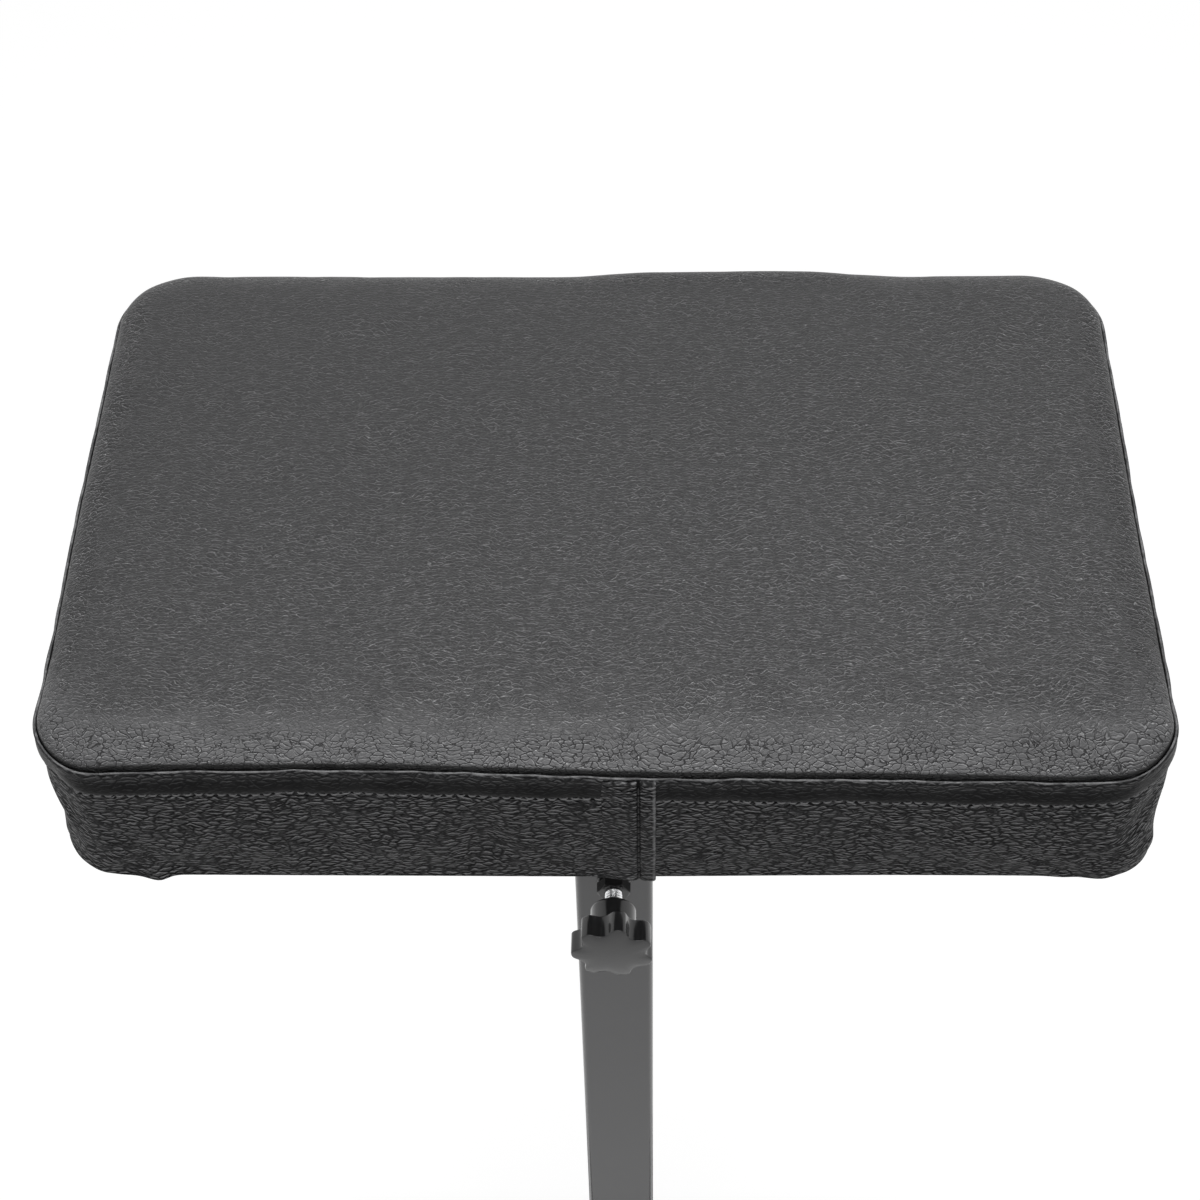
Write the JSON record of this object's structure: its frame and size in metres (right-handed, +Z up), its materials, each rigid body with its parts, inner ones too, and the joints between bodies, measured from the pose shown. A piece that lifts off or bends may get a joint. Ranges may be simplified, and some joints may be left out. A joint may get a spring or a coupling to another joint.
{
  "type": "tattoo arm rest stand",
  "caption": "Upholstered rectangular arm rest on a height-adjustable square mast with an H-shaped floor base, star-knob height clamp and tilting, lockable head.",
  "frame": {"origin": "on the floor, on the mast's axis, which is the middle of the base", "axes": "+Z up along the mast, -Y to the front where the height clamp's knob sticks out, +X to the right seen from the front, along the pad's long side"},
  "size_m": [0.4, 0.28, 0.9218],
  "materials": {
    "black_paint": "gloss",
    "zinc_steel": "satin",
    "chrome_steel": "polished",
    "brass": "satin",
    "knob_plastic": "gloss",
    "black_plastic": "satin",
    "white_nylon": "satin",
    "rubber": "matte",
    "plywood": "matte",
    "foam": "matte",
    "black_leather": "satin",
    "dust_sheet": "matte"
  },
  "bodies": {
    "stand": {"base_front_beam": "black_paint", "base_rear_beam": "black_paint", "base_centre_beam": "black_paint", "beam_end_caps": "black_plastic", "rubber_feet": "rubber", "foot_screws": "zinc_steel", "column_foot_plate": "black_paint", "column_gussets": "black_paint", "foot_bolts": "zinc_steel", "foot_washers": "zinc_steel", "foot_nuts": "zinc_steel", "column_tube": "black_paint", "column_guide_bush": "black_plastic", "clamp_weld_nut": "black_paint"},
    "clamp_tip": {"clamp_swivel_tip": "white_nylon"},
    "clamp_screw": {"clamp_stud": "chrome_steel", "clamp_knob": "knob_plastic"},
    "post": {"post_tube": "black_paint", "post_top_cap": "black_plastic", "post_bottom_glide": "black_plastic", "pivot_sleeve": "zinc_steel", "lock_sleeve": "zinc_steel", "pivot_bolt": "zinc_steel", "pivot_nut": "zinc_steel", "pivot_washers": "zinc_steel", "lock_bolt": "zinc_steel", "lock_bolt_washer": "zinc_steel"},
    "lock_washer": {"lock_knob_washer": "zinc_steel"},
    "lock_nut": {"lock_knob": "knob_plastic", "lock_knob_insert": "brass"},
    "head": {"tilt_bracket": "black_paint", "pad_mount_plate": "black_paint", "plate_screws": "zinc_steel", "plate_washers": "zinc_steel", "tee_nuts": "zinc_steel", "pad_board": "plywood", "foam_core": "foam", "cover_top_panel": "black_leather", "cover_side_band": "black_leather", "cover_hem": "black_leather", "dust_cover": "dust_sheet"}
  },
  "joints": [
    {"name": "post_height", "type": "slide", "parent": "stand", "child": "post", "axis": [0, 0, 1], "range_m": [-0.05, 0.2]},
    {"name": "pad_tilt", "type": "hinge", "parent": "post", "child": "head", "pos_m": [0, 0, 0.811], "axis": [1, 0, 0], "range_deg": [-45, 45]},
    {"name": "clamp_tip_travel", "type": "slide", "parent": "stand", "child": "clamp_tip", "axis": [0, -1, 0], "range_m": [0, 0.0025]},
    {"name": "clamp_knob_turn", "type": "hinge", "parent": "clamp_tip", "child": "clamp_screw", "pos_m": [0, -0.04, 0.681], "axis": [0, -1, 0], "range_deg": [0, 720.5]},
    {"name": "lock_washer_travel", "type": "slide", "parent": "post", "child": "lock_washer", "axis": [1, 0, 0], "range_m": [0, 0.0025]},
    {"name": "lock_knob_turn", "type": "hinge", "parent": "lock_washer", "child": "lock_nut", "pos_m": [0.03, 0, 0.779], "axis": [1, 0, 0], "range_deg": [0, 720.5]}
  ],
  "couplings": [
    {"joint": "clamp_knob_turn", "follows": "clamp_tip_travel", "rad_per_m": 5026.5},
    {"joint": "lock_knob_turn", "follows": "lock_washer_travel", "rad_per_m": 5026.5}
  ]
}
